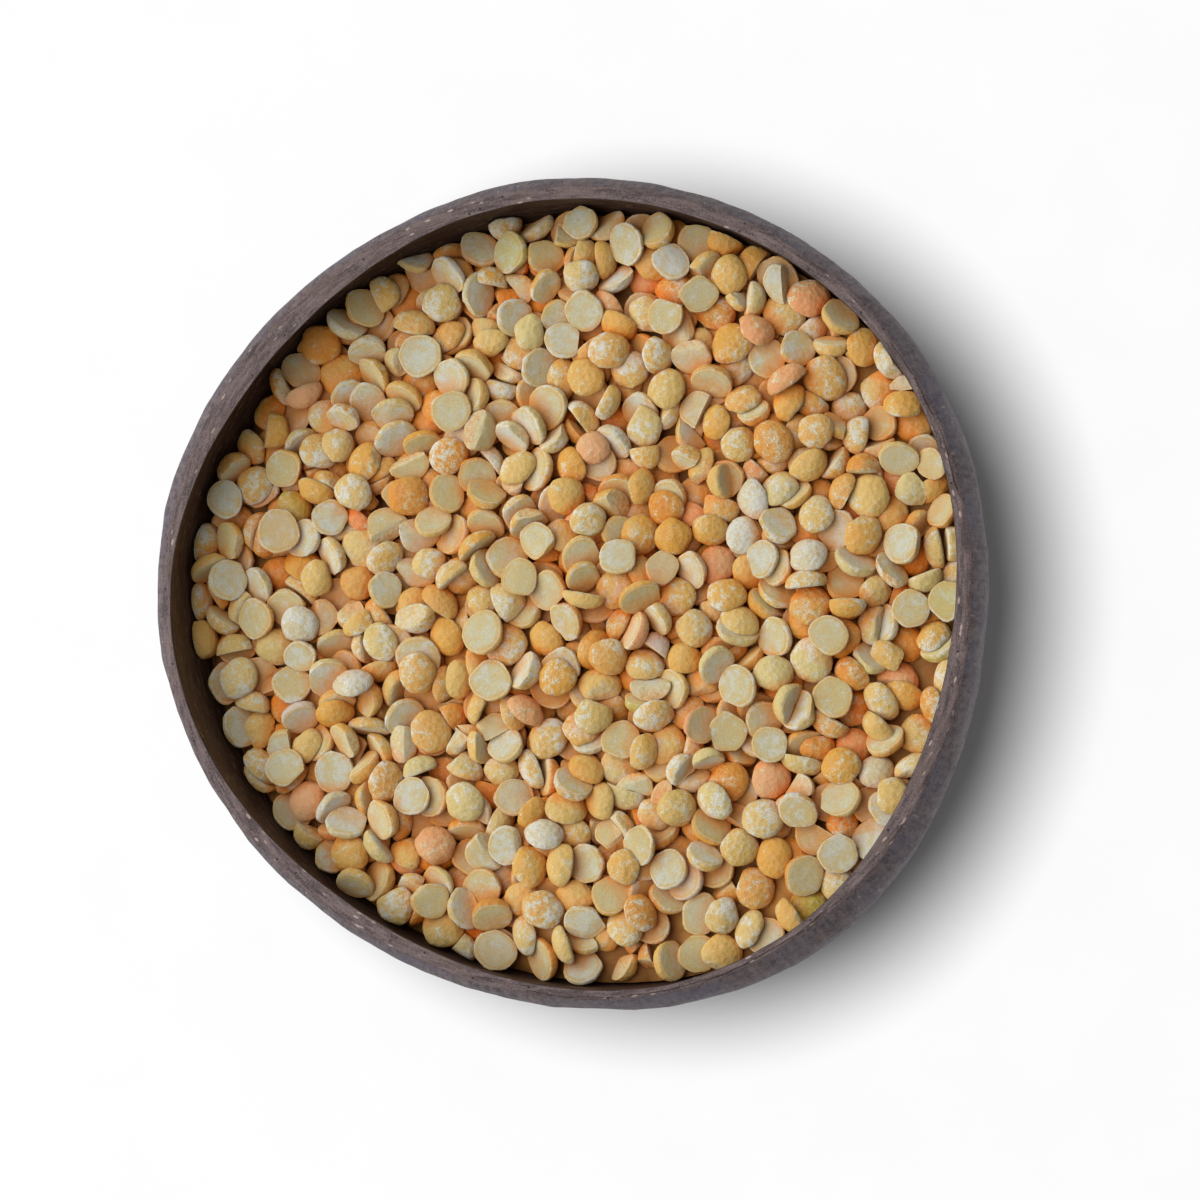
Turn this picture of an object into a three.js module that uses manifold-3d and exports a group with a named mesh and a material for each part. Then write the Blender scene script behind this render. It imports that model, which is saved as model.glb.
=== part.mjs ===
// A bowl made from half a coconut shell, filled with yellow split peas.
// Millimetres and degrees, +Z up. The origin is on the surface that the bowl stands on,
// under the middle of the bowl's box.

import * as THREE from 'three';
import { mergeVertices } from 'three/addons/utils/BufferGeometryUtils.js';
import Module from 'manifold-3d';

const wasm = await Module();
wasm.setup();

// ---------------------------------------------------------------- driving dimensions

const BOWL_HEIGHT = 64;
const BELLY_HEIGHT = 56; // the shell is widest here, and closes in a little above it
const FOOT_RADIUS = 19; // sanded flat, for the bowl to stand on
const WALL = 4;
const FLOOR = 3.5; // thickness at the middle of the foot
const GAP = 0.5; // between the peas and the shell

// An outline is a mean radius and the swells that make it uneven. A swell has evenly spaced
// lobes, which stand proud by its rise and sink as far between them, with one at its crest.
const BELLY_OUTLINE = {
  radius: 72.0,
  swells: [
    { lobes: 2, rise: 0.75, crest: -29 },
    { lobes: 3, rise: 1.25, crest: 59 },
    { lobes: 4, rise: 0.3, crest: 26 },
    { lobes: 5, rise: 0.3, crest: 23 },
  ],
};
const RIM_OUTER_OUTLINE = {
  radius: 69.9,
  swells: [
    { lobes: 2, rise: 0.45, crest: -18 },
    { lobes: 3, rise: 0.95, crest: 60 },
    { lobes: 4, rise: 0.3, crest: 22 },
  ],
};
const RIM_INNER_OUTLINE = {
  radius: 67.1,
  swells: [
    { lobes: 1, rise: 0.35, crest: -58 },
    { lobes: 2, rise: 0.3, crest: 4 },
    { lobes: 3, rise: 1.45, crest: 59 },
    { lobes: 4, rise: 0.75, crest: 15 },
    { lobes: 5, rise: 0.2, crest: 30 },
  ],
};

// The heap of peas: the tops of the peas at the middle and at the wall, above the table.
const HEAP_CROWN = 54;
const HEAP_EDGE = 49;
const PEA_STANDS_PROUD = 2; // how far the peas on top rise above the core that they are fused to

const PEA_DIAMETER = 6.5;
const PEA_DIAMETER_SPREAD = 0.5; // either way
const PEA_THICKNESS = 3.1; // half of a pea, from its cut face to the top of its round back
const PEA_SHOULDER = { out: 0.8, up: 0.62 }; // shares of its radius and thickness
const PEA_LEAST_WIDTH = 0.88; // of its length: few are quite round
const CHIP_SHARE = 0.1; // of the peas that show, how many are broken
const CHIP_WIDTH = 0.55; // of its length
const CUT_FACE_UP_SHARE = 0.5;
const STEEPEST_LEAN = 35;
const PEA_COUNT = 215;
const PEA_SCATTER = 0.4; // how far a pea lies out of its even place
const SEED = 7;

// How finely each form is divided, round its axis and along its profile.
const BOWL_SEGMENTS = 60;
const HEAP_SEGMENTS = 24;
const PEA_SEGMENTS = 7;
const OUTER_RINGS = 9; // from the foot to the belly
const INNER_RINGS = 8;
const COLLAR_RINGS = 2; // between the belly and the rim
const HEAP_TOP_RINGS = 2;

// ---------------------------------------------------------------- shared helpers

const WELD_DISTANCE = 1e-4;
const rad = THREE.MathUtils.degToRad;

function outlineRadius(outline, angle) {
  return outline.swells.reduce(
    (radius, { lobes, rise, crest }) => radius + rise * Math.cos(lobes * (angle - rad(crest))),
    outline.radius,
  );
}

/** A repeatable stream of numbers from 0 to 1, by a linear congruential rule. */
function randomStream(seed) {
  const [multiplier, increment, modulus] = [1664525, 1013904223, 2 ** 32];
  let state = seed;
  return () => {
    state = (state * multiplier + increment) % modulus;
    return state / modulus;
  };
}

/**
 * A closed solid swept round the Z axis through rings, each with a height and a radius that
 * depends on the angle. The first ring and the last are points on the axis.
 */
function sweptSolid(rings, segments) {
  const profile = rings.map(({ radiusAt, z }) => new THREE.Vector2(radiusAt(0), z));
  const geometry = new THREE.LatheGeometry(profile, segments);
  geometry.rotateX(Math.PI / 2);
  const places = geometry.attributes.position;
  for (let i = 0; i < places.count; i += 1) {
    const angle = Math.atan2(places.getY(i), places.getX(i));
    const { radiusAt, z } = rings[i % rings.length];
    const radius = radiusAt(angle);
    places.setXYZ(i, radius * Math.cos(angle), radius * Math.sin(angle), z);
  }
  return welded(geometry);
}

/** The same surface with shared corners, and without the faces that shrink to a line. */
function welded(geometry) {
  geometry.deleteAttribute('normal');
  geometry.deleteAttribute('uv');
  const merged = mergeVertices(geometry, WELD_DISTANCE);
  const corners = merged.index.array;
  const kept = [];
  for (let i = 0; i < corners.length; i += 3) {
    const [a, b, c] = corners.slice(i, i + 3);
    if (a !== b && b !== c && c !== a) kept.push(a, b, c);
  }
  merged.setIndex(kept);
  return merged;
}

function toSolid(geometry) {
  return new wasm.Manifold(new wasm.Mesh({
    numProp: 3,
    vertProperties: new Float32Array(geometry.attributes.position.array),
    triVerts: new Uint32Array(geometry.index.array),
  }));
}

function toGeometry(solid) {
  const { vertProperties, triVerts } = solid.getMesh();
  const geometry = new THREE.BufferGeometry();
  geometry.setAttribute('position', new THREE.BufferAttribute(vertProperties, 3));
  geometry.setIndex(new THREE.BufferAttribute(triVerts, 1));
  geometry.computeVertexNormals();
  return geometry;
}

// ---------------------------------------------------------------- the shell's surfaces

const onAxis = (z) => ({ z, radiusAt: () => 0 });

/** How far out a bulging wall is at a height, as a share of its belly: 0 at its lowest point. */
function bulge(z, depth) {
  return Math.sqrt(Math.max(0, 1 - ((BELLY_HEIGHT - z) / depth) ** 2));
}

const outerDepth = BELLY_HEIGHT / Math.sqrt(1 - (FOOT_RADIUS / BELLY_OUTLINE.radius) ** 2);
const innerDepth = BELLY_HEIGHT - FLOOR;

/** Between the belly and the rim the wall leaves one outline for the other. */
function collarRadius(belly, rim, z) {
  const share = (z - BELLY_HEIGHT) / (BOWL_HEIGHT - BELLY_HEIGHT);
  return THREE.MathUtils.lerp(belly, rim, share * share);
}

function outerRadius(angle, z) {
  const belly = outlineRadius(BELLY_OUTLINE, angle);
  return z <= BELLY_HEIGHT
    ? belly * bulge(z, outerDepth)
    : collarRadius(belly, outlineRadius(RIM_OUTER_OUTLINE, angle), z);
}

/** The inner wall, or with a clearance a surface that stays clear of it. */
function innerRadius(angle, z, clearance = 0) {
  const belly = outlineRadius(BELLY_OUTLINE, angle) - WALL;
  const radius = z <= BELLY_HEIGHT
    ? belly * bulge(z, innerDepth - clearance)
    : collarRadius(belly, outlineRadius(RIM_INNER_OUTLINE, angle), z);
  return Math.max(0, radius - clearance);
}

/** Heights along a bulging wall from low to high, evenly spaced round its curve. */
function heightsUp(low, high, depth, steps) {
  const turnAt = (z) => Math.asin((z - BELLY_HEIGHT) / depth);
  return Array.from({ length: steps + 1 }, (_, i) => {
    const turn = THREE.MathUtils.lerp(turnAt(low), turnAt(high), i / steps);
    return BELLY_HEIGHT + depth * Math.sin(turn);
  });
}

const collarHeights = Array.from(
  { length: COLLAR_RINGS },
  (_, i) => THREE.MathUtils.lerp(BELLY_HEIGHT, BOWL_HEIGHT, (i + 1) / COLLAR_RINGS),
);

// ---------------------------------------------------------------- the bowl

function bowlGeometry() {
  const outerHeights = [...heightsUp(0, BELLY_HEIGHT, outerDepth, OUTER_RINGS), ...collarHeights];
  const innerHeights = [
    ...heightsUp(FLOOR, BELLY_HEIGHT, innerDepth, INNER_RINGS).slice(1),
    ...collarHeights,
  ];
  return sweptSolid([
    onAxis(0),
    ...outerHeights.map((z) => ({ z, radiusAt: (angle) => outerRadius(angle, z) })),
    ...innerHeights.reverse().map((z) => ({ z, radiusAt: (angle) => innerRadius(angle, z) })),
    onAxis(FLOOR),
  ], BOWL_SEGMENTS);
}

// ---------------------------------------------------------------- the peas

/** Height of the core under the peas, at a share of the way from the middle to the wall. */
function coreHeight(share) {
  return THREE.MathUtils.lerp(HEAP_CROWN, HEAP_EDGE, share * share) - PEA_STANDS_PROUD;
}

function coreGeometry() {
  const lowest = FLOOR + GAP;
  const wallHeights = heightsUp(lowest, coreHeight(1), innerDepth - GAP, INNER_RINGS).slice(1);
  const topShares = Array.from({ length: HEAP_TOP_RINGS - 1 }, (_, i) => 1 - (i + 1) / HEAP_TOP_RINGS);
  const edgeRadius = (angle) => innerRadius(angle, coreHeight(1), GAP);
  return sweptSolid([
    onAxis(lowest),
    ...wallHeights.map((z) => ({ z, radiusAt: (angle) => innerRadius(angle, z, GAP) })),
    ...topShares.map((share) => ({
      z: coreHeight(share),
      radiusAt: (angle) => share * edgeRadius(angle),
    })),
    onAxis(coreHeight(0)),
  ], HEAP_SEGMENTS);
}

/** Half a pea with its cut face down and its back up, centred on the origin. */
function halfPeaGeometry(radius, width) {
  const pea = sweptSolid([
    onAxis(0),
    { z: 0, radiusAt: () => radius },
    { z: PEA_THICKNESS * PEA_SHOULDER.up, radiusAt: () => radius * PEA_SHOULDER.out },
    onAxis(PEA_THICKNESS),
  ], PEA_SEGMENTS);
  return pea.scale(width, 1, 1).translate(0, 0, -PEA_THICKNESS / 2);
}

/** Peas spread evenly over the heap like the seeds of a sunflower, each a little out of place. */
function peaSolids() {
  const random = randomStream(SEED);
  const between = (low, high) => THREE.MathUtils.lerp(low, high, random());
  const goldenAngle = Math.PI * (3 - Math.sqrt(5));
  const reach = (PEA_DIAMETER + PEA_DIAMETER_SPREAD) / 2 + PEA_SCATTER;
  return Array.from({ length: PEA_COUNT }, (_, i) => {
    const angle = i * goldenAngle;
    const share = Math.sqrt(i / (PEA_COUNT - 1));
    const level = coreHeight(share);
    const out = share * (innerRadius(angle, level - reach, GAP) - reach);
    const pea = new THREE.Object3D();
    pea.position.set(
      out * Math.cos(angle) + between(-PEA_SCATTER, PEA_SCATTER),
      out * Math.sin(angle) + between(-PEA_SCATTER, PEA_SCATTER),
      level + between(0, PEA_STANDS_PROUD / 2),
    );
    pea.rotateZ(between(0, 2 * Math.PI));
    pea.rotateX(rad(between(0, STEEPEST_LEAN)) + (random() < CUT_FACE_UP_SHARE ? Math.PI : 0));
    pea.rotateZ(between(0, 2 * Math.PI));
    pea.updateMatrix();
    const radius = PEA_DIAMETER / 2 + between(-PEA_DIAMETER_SPREAD, PEA_DIAMETER_SPREAD) / 2;
    const width = random() < CHIP_SHARE ? CHIP_WIDTH : between(PEA_LEAST_WIDTH, 1);
    return toSolid(halfPeaGeometry(radius, width).applyMatrix4(pea.matrix));
  });
}

/** The core with the peas fused on, as one body: sealed hollows filled and loose scraps dropped. */
function heapGeometry() {
  const heap = wasm.Manifold.union([toSolid(coreGeometry()), ...peaSolids()]);
  const [largest] = heap.decompose().sort((a, b) => b.volume() - a.volume());
  return toGeometry(largest);
}

// ---------------------------------------------------------------- the dish

const shellMaterial = new THREE.MeshStandardMaterial({ color: 0x6b5c5b, roughness: 0.7, metalness: 0 });
const peaMaterial = new THREE.MeshStandardMaterial({ color: 0xd9ab62, roughness: 0.6, metalness: 0 });

const bowl = new THREE.Mesh(bowlGeometry(), shellMaterial);
bowl.name = 'bowl';

const peas = new THREE.Mesh(heapGeometry(), peaMaterial);
peas.name = 'peas';

const dish = new THREE.Group();
dish.add(bowl, peas);
const middle = new THREE.Box3().setFromObject(bowl).getCenter(new THREE.Vector3());
dish.position.set(-middle.x, -middle.y, 0);

export default dish;
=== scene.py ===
"""A bowl made from half a coconut shell, filled with loose yellow split peas.

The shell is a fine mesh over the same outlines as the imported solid, with knife facets, sawn rim
and fibres. The peas are dropped into it as rigid bodies, and where they settle they are joined
into one mesh for each kind of pea, over a plain core. Lengths are in millimetres unless a name
says otherwise, and become metres when a mesh is made.
"""

import math
import random

import bmesh
import bpy
import numpy as np
from mathutils import Matrix, Quaternion, Vector, noise


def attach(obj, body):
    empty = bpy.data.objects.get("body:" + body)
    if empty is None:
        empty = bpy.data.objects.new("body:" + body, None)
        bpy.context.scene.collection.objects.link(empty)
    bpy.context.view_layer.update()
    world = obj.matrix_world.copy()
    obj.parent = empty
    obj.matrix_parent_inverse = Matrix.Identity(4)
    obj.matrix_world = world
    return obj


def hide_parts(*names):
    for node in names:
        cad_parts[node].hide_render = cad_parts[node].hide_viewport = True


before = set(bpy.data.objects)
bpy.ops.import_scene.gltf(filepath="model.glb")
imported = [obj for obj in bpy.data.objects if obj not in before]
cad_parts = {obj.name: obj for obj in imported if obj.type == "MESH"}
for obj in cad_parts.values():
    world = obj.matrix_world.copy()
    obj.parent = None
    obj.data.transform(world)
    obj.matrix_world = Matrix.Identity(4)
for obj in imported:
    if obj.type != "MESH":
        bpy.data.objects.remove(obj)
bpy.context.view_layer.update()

MM = 0.001
GOLDEN_ANGLE = math.pi * (3 - math.sqrt(5))  # each turned by this, places spread evenly

# ---------------------------------------------------------------- the shell's dimensions

BOWL_HEIGHT = 64.0
BELLY_HEIGHT = 56.0  # the shell is widest here, and closes in a little above it
FOOT_RADIUS = 19.0
WALL = 4.0
FLOOR = 3.5  # thickness at the middle of the foot

# A mean radius and the swells on it: (lobes, rise, crest in degrees).
BELLY_OUTLINE = (72.0, ((2, 0.75, -29), (3, 1.25, 59), (4, 0.3, 26), (5, 0.3, 23)))
RIM_OUTER_OUTLINE = (69.9, ((2, 0.45, -18), (3, 0.95, 60), (4, 0.3, 22)))
RIM_INNER_OUTLINE = (
    67.1,
    ((1, 0.35, -58), (2, 0.3, 4), (3, 1.45, 59), (4, 0.75, 15), (5, 0.2, 30)),
)

HEAP_CROWN = 54.0  # tops of the peas at the middle of the heap
HEAP_EDGE = 52.0  # and at the wall, on average
HEAP_LEAN = (3.8, -35)  # how much higher it lies at the wall on one side, and that side's angle

CAD_SEGMENTS = 60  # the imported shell's corners lie at these even angles
SHELL_SEGMENTS = 480
SKIN_INSET = 0.12  # keeps the smooth outline inside the faceted solid's box


def outline_radius(outline, angle):
    radius, swells = outline
    return radius + sum(
        rise * np.cos(lobes * (angle - math.radians(crest)))
        for lobes, rise, crest in swells
    )


def bulge(z, depth):
    """How far out a bulging wall is at height z, as a share of its belly."""
    return np.sqrt(np.maximum(0, 1 - ((BELLY_HEIGHT - z) / depth) ** 2))


OUTER_DEPTH = BELLY_HEIGHT / math.sqrt(1 - (FOOT_RADIUS / BELLY_OUTLINE[0]) ** 2)
INNER_DEPTH = BELLY_HEIGHT - FLOOR


def wall_radius(angle, z, rim_outline, thickness, depth):
    """A wall that follows the belly's outline, and turns to the rim's above the belly."""
    belly = outline_radius(BELLY_OUTLINE, angle) - thickness
    share = np.clip((z - BELLY_HEIGHT) / (BOWL_HEIGHT - BELLY_HEIGHT), 0, 1) ** 2
    above = belly + (outline_radius(rim_outline, angle) - belly) * share
    return np.where(z <= BELLY_HEIGHT, belly * bulge(z, depth), above)


def outer_radius(angle, z):
    return wall_radius(angle, z, RIM_OUTER_OUTLINE, 0, OUTER_DEPTH)


def inner_radius(angle, z):
    return wall_radius(angle, z, RIM_INNER_OUTLINE, WALL, INNER_DEPTH)


def middle_of_belly():
    """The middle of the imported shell's box, seen from the axis of its outlines."""
    angles = np.arange(CAD_SEGMENTS) * 2 * math.pi / CAD_SEGMENTS
    radius = outline_radius(BELLY_OUTLINE, angles)
    across = [radius * np.cos(angles), radius * np.sin(angles)]
    return np.array([(c.max() + c.min()) / 2 for c in across] + [0.0])


AXIS = -middle_of_belly()  # where the axis of the outlines stands in the row's frame


# ---------------------------------------------------------------- meshes from arrays


def make_piece(name, points, triangles, material):
    """A mesh object from points in millimetres about the bowl's axis, and triangles."""
    mesh = bpy.data.meshes.new(name)
    points = (np.asarray(points) + AXIS) * MM
    triangles = np.asarray(triangles, np.int32)
    mesh.vertices.add(len(points))
    mesh.vertices.foreach_set("co", points.astype(np.float32).ravel())
    mesh.loops.add(triangles.size)
    mesh.loops.foreach_set("vertex_index", triangles.ravel())
    mesh.polygons.add(len(triangles))
    mesh.polygons.foreach_set("loop_start", np.arange(len(triangles), dtype=np.int32) * 3)
    mesh.polygons.foreach_set("use_smooth", np.full(len(triangles), True))
    mesh.materials.append(material)
    mesh.update(calc_edges=True)
    mesh.validate()
    piece = bpy.data.objects.new(name, mesh)
    bpy.context.scene.collection.objects.link(piece)
    return piece


def add_marks(piece, marks):
    """Gives each point a number or a vector under every name, for the material to read."""
    for name, values in marks.items():
        values = np.asarray(values, np.float32)
        kind, field = ("FLOAT", "value") if values.ndim == 1 else ("FLOAT_VECTOR", "vector")
        piece.data.attributes.new(name, kind, "POINT")
        piece.data.attributes[name].data.foreach_set(field, values.ravel())


def swept_triangles(rings, segments):
    """Triangles of a surface swept round the axis: a point, rings of points, and a point."""
    turn = np.arange(segments)
    ahead = (turn + 1) % segments
    first = 1 + np.arange(rings)[:, None] * segments
    low, low_ahead = (first + turn)[:-1].ravel(), (first + ahead)[:-1].ravel()
    high, high_ahead = (first + turn)[1:].ravel(), (first + ahead)[1:].ravel()
    last = 1 + rings * segments
    start = np.stack([np.zeros_like(turn), 1 + ahead, 1 + turn], 1)
    sides = np.concatenate(
        [
            np.stack([low, low_ahead, high_ahead], 1),
            np.stack([low, high_ahead, high], 1),
        ]
    )
    top = first[-1]
    end = np.stack([top + turn, top + ahead, np.full_like(turn, last)], 1)
    return np.concatenate([start, sides, end])


def smooth_noise(points, wave, seed):
    """Noise between about -1 and 1 at each point, with waves of about this length."""
    offset = Vector((seed * 17.3, seed * 5.1, seed * 9.7))
    return np.array([noise.noise(Vector(p) / wave + offset) for p in points])


# ---------------------------------------------------------------- materials


LIGHT_GAIN = 0.89  # how bright the light shows a level surface, as a share of its colour


def seen(colour):
    """The colour that makes a surface look like this one, from 0 to 255, under the light."""
    levels = np.array(colour) / 255
    linear = np.where(levels <= 0.04045, levels / 12.92, ((levels + 0.055) / 1.055) ** 2.4)
    return (*(linear / LIGHT_GAIN).tolist(), 1.0)


class Nodes:
    """A material's node tree, with a short call for each kind of node that it uses."""

    def __init__(self, name, roughness, shine):
        self.material = bpy.data.materials.new(name)
        self.material.use_nodes = True
        self.tree = self.material.node_tree
        self.shader = self.tree.nodes["Principled BSDF"]
        self.shader.inputs["Roughness"].default_value = roughness
        self.shader.inputs["Specular IOR Level"].default_value = shine

    def add(self, kind, inputs=(), **settings):
        node = self.tree.nodes.new(kind)
        for key, value in settings.items():
            setattr(node, key, value)
        for socket, value in dict(inputs).items():
            self.feed(node.inputs[socket], value)
        return node

    def feed(self, socket, value):
        if isinstance(value, bpy.types.NodeSocket):
            self.tree.links.new(value, socket)
        else:
            socket.default_value = value

    def place(self):
        return self.add("ShaderNodeTexCoord").outputs["Object"]

    def stored(self, name, output="Fac"):
        return self.add("ShaderNodeAttribute", attribute_name=name).outputs[output]

    def maths(self, operation, a, b):
        return self.add("ShaderNodeMath", {0: a, 1: b}, operation=operation).outputs[0]

    def plus(self, a, b):
        return self.maths("ADD", a, b)

    def minus(self, a, b):
        return self.maths("SUBTRACT", a, b)

    def times(self, a, b):
        return self.maths("MULTIPLY", a, b)

    def weighed(self, *parts):
        """The sum of some values, each times its weight."""
        total, *others = [self.times(value, weight) for value, weight in parts]
        for other in others:
            total = self.plus(total, other)
        return total

    def stretched(self, vector, factors):
        inputs = {0: vector, 1: factors}
        return self.add("ShaderNodeVectorMath", inputs, operation="MULTIPLY").outputs[0]

    def noise(self, vector, scale, detail=2.0, roughness=0.5, distortion=0.0):
        inputs = {
            "Vector": vector,
            "Scale": scale,
            "Detail": detail,
            "Roughness": roughness,
            "Distortion": distortion,
        }
        return self.add("ShaderNodeTexNoise", inputs).outputs["Fac"]

    def cells(self, vector, scale):
        """The distance to the nearest of some scattered points."""
        inputs = {"Vector": vector, "Scale": scale}
        return self.add("ShaderNodeTexVoronoi", inputs).outputs["Distance"]

    def between(self, value, low, high):
        """0 at low and 1 at high, with a smooth rise between them."""
        inputs = {"Value": value, "From Min": low, "From Max": high}
        node = self.add("ShaderNodeMapRange", inputs, interpolation_type="SMOOTHSTEP")
        return node.outputs["Result"]

    def mix(self, share, one, other, blend="MIX"):
        inputs = {"Factor": share, "A": one, "B": other}
        node = self.add("ShaderNodeMix", inputs, data_type="RGBA", blend_type=blend)
        return node.outputs["Result"]

    def laid_over(self, colour, other, mask, strength):
        """A colour with another over it, where the mask says and this strongly."""
        return self.mix(self.times(mask, strength), colour, other)

    def paint(self, colour):
        self.feed(self.shader.inputs["Base Color"], colour)

    def bump(self, height, depth):
        """depth is the relief's real depth in millimetres, for height from 0 to 1."""
        node = self.add("ShaderNodeBump", {"Height": height, "Distance": depth * MM})
        self.feed(self.shader.inputs["Normal"], node.outputs["Normal"])


PER_METRE = 1 / MM  # texture scales are per metre, so this makes one wave a millimetre long

# The shell's colours, as the light should bring them out.
RIM_DARK = (72, 60, 61)
RIM_LIGHT = (122, 106, 104)
RIM_CLOUD = (112, 95, 86)
RIM_FIBRE_END = (192, 170, 160)
RIM_PORE = (36, 27, 26)
WALL_DARK = (70, 60, 64)
WALL_LIGHT = (110, 98, 102)
WALL_STREAK = (122, 107, 104)
WALL_FURROW = (58, 48, 50)
WALL_BROWN = (104, 88, 82)
WALL_BLUISH = (92, 90, 106)
WALL_PIT = (42, 35, 40)
WALL_SPECK = (170, 152, 144)
# The inside's browns are darkened past the shell's own brown as painted shade.
INSIDE_DARK = (50, 35, 28)
INSIDE_LIGHT = (96, 70, 54)
INSIDE_FINE = (70, 52, 44)
INSIDE_THREAD = (190, 165, 130)


def sawn_rim_look(n, fine):
    """Colour and relief of sawn end grain: faint streaks, short pale fibre ends, dark pores."""
    place = n.place()
    grain = n.stored("rim_grain", "Vector")
    streaks = n.noise(n.stretched(grain, (0.4, 0.4, 1.0)), 1.5 * PER_METRE, 4, 0.65)
    clouds = n.noise(place, 0.2 * PER_METRE, detail=3)
    tone = n.weighed((streaks, 0.6), (fine, 0.4))
    colour = n.mix(n.between(tone, 0.37, 0.63), seen(RIM_DARK), seen(RIM_LIGHT))
    colour = n.laid_over(colour, seen(RIM_CLOUD), n.between(clouds, 0.48, 0.7), 0.4)
    chosen = n.between(n.noise(grain, 0.4 * PER_METRE, detail=1), 0.48, 0.56)
    ends = n.times(n.between(n.cells(grain, 0.95 * PER_METRE), 0.25, 0.12), chosen)
    colour = n.laid_over(colour, seen(RIM_FIBRE_END), ends, 0.7)
    pores = n.between(n.cells(place, 0.5 * PER_METRE), 0.12, 0.06)
    colour = n.laid_over(colour, seen(RIM_PORE), pores, 0.7)
    return colour, n.minus(tone, n.times(pores, 0.5))


def shaved_wall_look(n, fine):
    """The outside: mottled purplish grey, with faint fibres running from rim to foot."""
    place = n.place()
    grain = n.stored("wall_grain", "Vector")
    fibres = n.noise(grain, 1.2 * PER_METRE, detail=4, roughness=0.65)
    mottle = n.noise(place, 0.8 * PER_METRE, detail=5, roughness=0.72)
    clouds = n.noise(place, 0.11 * PER_METRE, detail=3)
    brown = n.noise(place, 0.45 * PER_METRE, detail=3)
    colour = n.mix(n.between(mottle, 0.36, 0.64), seen(WALL_DARK), seen(WALL_LIGHT))
    colour = n.laid_over(colour, seen(WALL_STREAK), n.between(fibres, 0.48, 0.64), 0.5)
    colour = n.laid_over(colour, seen(WALL_FURROW), n.between(fibres, 0.46, 0.34), 0.5)
    colour = n.laid_over(colour, seen(WALL_BROWN), n.between(brown, 0.5, 0.68), 0.5)
    colour = n.laid_over(colour, seen(WALL_BLUISH), n.between(clouds, 0.42, 0.66), 0.4)
    pits = n.between(n.cells(place, 0.75 * PER_METRE), 0.17, 0.08)
    colour = n.laid_over(colour, seen(WALL_PIT), pits, 0.6)
    chosen = n.between(n.noise(place, 0.4 * PER_METRE, detail=1), 0.54, 0.62)
    specks = n.times(n.between(n.cells(grain, 1.0 * PER_METRE), 0.22, 0.1), chosen)
    colour = n.laid_over(colour, seen(WALL_SPECK), specks, 0.5)
    return colour, n.minus(n.weighed((fibres, 0.5), (fine, 0.5)), n.times(pits, 0.5))


def scraped_inside_look(n, fine):
    """The inside above the peas: dark brown, darkened further as painted shade, scraped, with a
    few loose pale fibres.
    """
    grain = n.stored("inside_grain", "Vector")
    streaks = n.noise(grain, 1.4 * PER_METRE, detail=3, roughness=0.6)
    colour = n.mix(n.between(streaks, 0.3, 0.7), seen(INSIDE_DARK), seen(INSIDE_LIGHT))
    colour = n.laid_over(colour, seen(INSIDE_FINE), fine, 0.5)
    threads = n.between(n.noise(grain, 3.2 * PER_METRE, detail=1), 0.68, 0.74)
    colour = n.laid_over(colour, seen(INSIDE_THREAD), threads, 0.5)
    return colour, n.times(streaks, 0.5)


def shell_material():
    """Coconut shell: shaved outside, sawn rim and scraped inside, which run into each other."""
    n = Nodes("coconut_shell", roughness=0.66, shine=0.3)
    fine = n.noise(n.place(), 3.2 * PER_METRE, detail=3, roughness=0.6)
    colour, relief = shaved_wall_look(n, fine)
    for mark, look in (("sawn", sawn_rim_look), ("within", scraped_inside_look)):
        other_colour, other_relief = look(n, fine)
        ragged = n.plus(n.stored(mark), n.times(fine, 0.5))
        share = n.between(ragged, 0.45, 1.05)
        colour = n.mix(share, colour, other_colour)
        relief = n.mix(share, relief, other_relief)
    n.paint(colour)
    n.bump(relief, depth=0.4)
    return n.material


# ---------------------------------------------------------------- the shell

# How many rings of points each part of the shell has.
OUTSIDE_RINGS = 50
COLLAR_RINGS = 7  # from the belly up to the rim
OUTER_EDGE_RINGS = 6
RIM_RINGS = 7
INNER_EDGE_RINGS = 4
THROAT_RINGS = 6  # from the rim down to the belly
INSIDE_RINGS = 40
FOOT_SHARES = (0.35, 0.7, 0.97)  # rings on the foot, as shares of its radius

EDGE_ROUNDING = 0.85  # the rim's outer edge
WORN_EDGE = (0.35, 1.6)  # the least and the most of that rounding
LONG_WEAR = 6.0  # waves of the wear round the outer edge
SHORT_WEAR = 2.2
MEAN_WEAR = 0.7  # as shares of the rounding
WEAR_SWING = 0.5
FLAT_START = 1.05  # roundings from the outline to where the flat of the rim starts
INNER_EDGE_ROUNDING = 0.25
INNER_STRAY = 0.12  # how far the rim's inner edge strays from its outline
INNER_STRAY_WAVE = 7.0
INNER_STRAY_END = 50.0  # the height down to which it fades

FACET_COUNT = 900  # knife cuts over a whole ball of this size
FACET_HALF_WIDTH = 5.6  # in degrees, where a facet reaches the full radius
FACET_WIDTHS = (0.6, 1.15)  # the least and the most of that
FACET_STRAY = 0.03
FARTHEST_COSINE = 0.2  # keeps facets on the ball's far side from counting
FIBRE_DEPTH = 0.07
FIBRE_WAVE = 2.4
UNCUT_FOOT = 6.0  # the cuts grow to full depth over this height


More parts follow.
